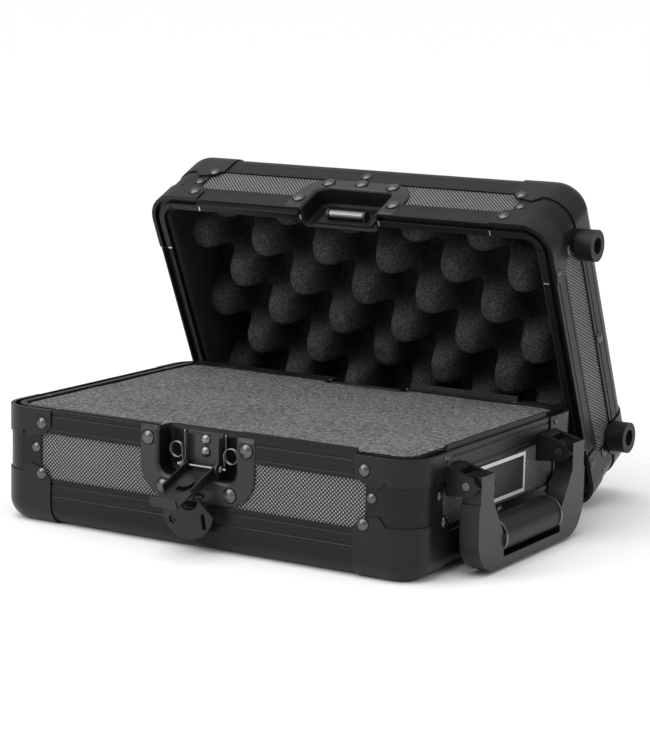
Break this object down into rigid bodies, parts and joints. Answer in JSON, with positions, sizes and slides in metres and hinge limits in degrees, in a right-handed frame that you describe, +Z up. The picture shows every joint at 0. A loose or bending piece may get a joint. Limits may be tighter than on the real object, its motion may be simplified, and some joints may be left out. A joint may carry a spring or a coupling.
{
  "type": "miniature carry case",
  "caption": "Small black flight case, open: base filled with pick foam, foam-lined lid standing behind it, butterfly latches front and rear, and a swinging side handle.",
  "frame": {"origin": "centre of the underside of the case's base, on the floor", "axes": "+X towards the end with the handle, +Y towards the back, where the lid stands, +Z up"},
  "size_m": [0.3381, 0.3498, 0.2245],
  "materials": {
    "laminate": "plywood faced with black plastic laminate, embossed with a fine diamond grid",
    "frame": "satin black coated aluminium extrusion",
    "corner_steel": "satin black coated pressed steel",
    "latch_steel": "satin black coated sheet steel",
    "rivet_steel": "dark blackened steel, polished heads",
    "bright_steel": "bright plated steel",
    "grey_foam": "mid grey open-cell foam, scored for picking out",
    "black_foam": "black open-cell foam",
    "nameplate": "black plate with a thin white border, blank",
    "handle_plastic": "semi-gloss black moulded plastic",
    "grip_rubber": "matt black rubber"
  },
  "bodies": {
    "base": {"base_front_panel": "laminate", "base_back_panel": "laminate", "base_left_panel": "laminate", "base_right_panel": "laminate", "base_bottom_panel": "laminate", "base_edge_frame": "frame", "base_rim_tongue": "frame", "base_rim_groove": "frame", "base_rim_corners": "corner_steel", "base_posts": "frame", "base_caps": "corner_steel", "base_rivets": "rivet_steel", "pick_foam": "grey_foam", "nameplate": "nameplate", "handle_brackets": "corner_steel", "handle_pins": "rivet_steel", "front_dish": "latch_steel", "front_latch_base": "latch_steel", "front_latch_pin": "bright_steel", "front_springs": "bright_steel", "rear_dish": "latch_steel", "rear_latch_base": "latch_steel", "rear_latch_pin": "bright_steel", "rear_springs": "bright_steel"},
    "handle": {"handle_arms": "handle_plastic", "handle_collars": "bright_steel", "handle_grip": "grip_rubber"},
    "front_latch": {"front_latch_body": "latch_steel", "front_spindle": "latch_steel"},
    "front_hook": {"front_hook": "latch_steel"},
    "front_wing": {"front_wing": "latch_steel"},
    "rear_latch": {"rear_latch_body": "latch_steel", "rear_spindle": "latch_steel"},
    "rear_hook": {"rear_hook": "latch_steel"},
    "rear_wing": {"rear_wing": "latch_steel"},
    "lid_foot": {"rear_foot": "grip_rubber"},
    "lid": {"lid_front_panel": "laminate", "lid_back_panel": "laminate", "lid_left_panel": "laminate", "lid_right_panel": "laminate", "lid_top_panel": "laminate", "lid_edge_frame": "frame", "lid_rim_tongue": "frame", "lid_rim_groove": "frame", "lid_rim_corners": "corner_steel", "lid_posts": "frame", "lid_caps": "corner_steel", "lid_rivets": "rivet_steel", "lid_foam": "black_foam", "lid_liner": "black_foam", "lid_front_dish": "latch_steel", "lid_rear_dish": "latch_steel", "front_keeper": "latch_steel", "front_roller": "bright_steel", "rear_keeper": "latch_steel", "rear_roller": "bright_steel", "front_foot": "grip_rubber"}
  },
  "joints": [
    {"name": "lid_carry", "type": "hinge", "parent": "base", "child": "lid_foot", "pos_m": [0.155, 0.13559, 0.10057], "axis": [1, 0, 0], "range_deg": [0, 226.8]},
    {"name": "lid_turn", "type": "hinge", "parent": "lid_foot", "child": "lid", "pos_m": [0.155, 0.16655, 0.04789], "axis": [-1, 0, 0], "range_deg": [0, 162]},
    {"name": "handle_swing", "type": "hinge", "parent": "base", "child": "handle", "pos_m": [0.17, 0, 0.0575], "axis": [0, -1, 0], "range_deg": [0, 71]},
    {"name": "front_latch_swing", "type": "hinge", "parent": "base", "child": "front_latch", "pos_m": [0, -0.104, 0.0525], "axis": [-1, 0, 0], "range_deg": [0, 112]},
    {"name": "front_hook_draw", "type": "slide", "parent": "front_latch", "child": "front_hook", "axis": [0, 0.9272, 0.3746], "range_m": [0, 0.0054]},
    {"name": "front_wing_fold", "type": "hinge", "parent": "front_latch", "child": "front_wing", "pos_m": [0, -0.11854, 0.03778], "axis": [-1, 0, 0], "range_deg": [0, 68]},
    {"name": "rear_latch_swing", "type": "hinge", "parent": "base", "child": "rear_latch", "pos_m": [0, 0.104, 0.0525], "axis": [1, 0, 0], "range_deg": [0, 112]},
    {"name": "rear_hook_draw", "type": "slide", "parent": "rear_latch", "child": "rear_hook", "axis": [0, -0.9272, 0.3746], "range_m": [0, 0.0054]},
    {"name": "rear_wing_fold", "type": "hinge", "parent": "rear_latch", "child": "rear_wing", "pos_m": [0, 0.11854, 0.03778], "axis": [1, 0, 0], "range_deg": [0, 68]}
  ],
  "couplings": [
    {"joint": "lid_carry", "follows": "lid_turn", "ratio": 1.4}
  ]
}
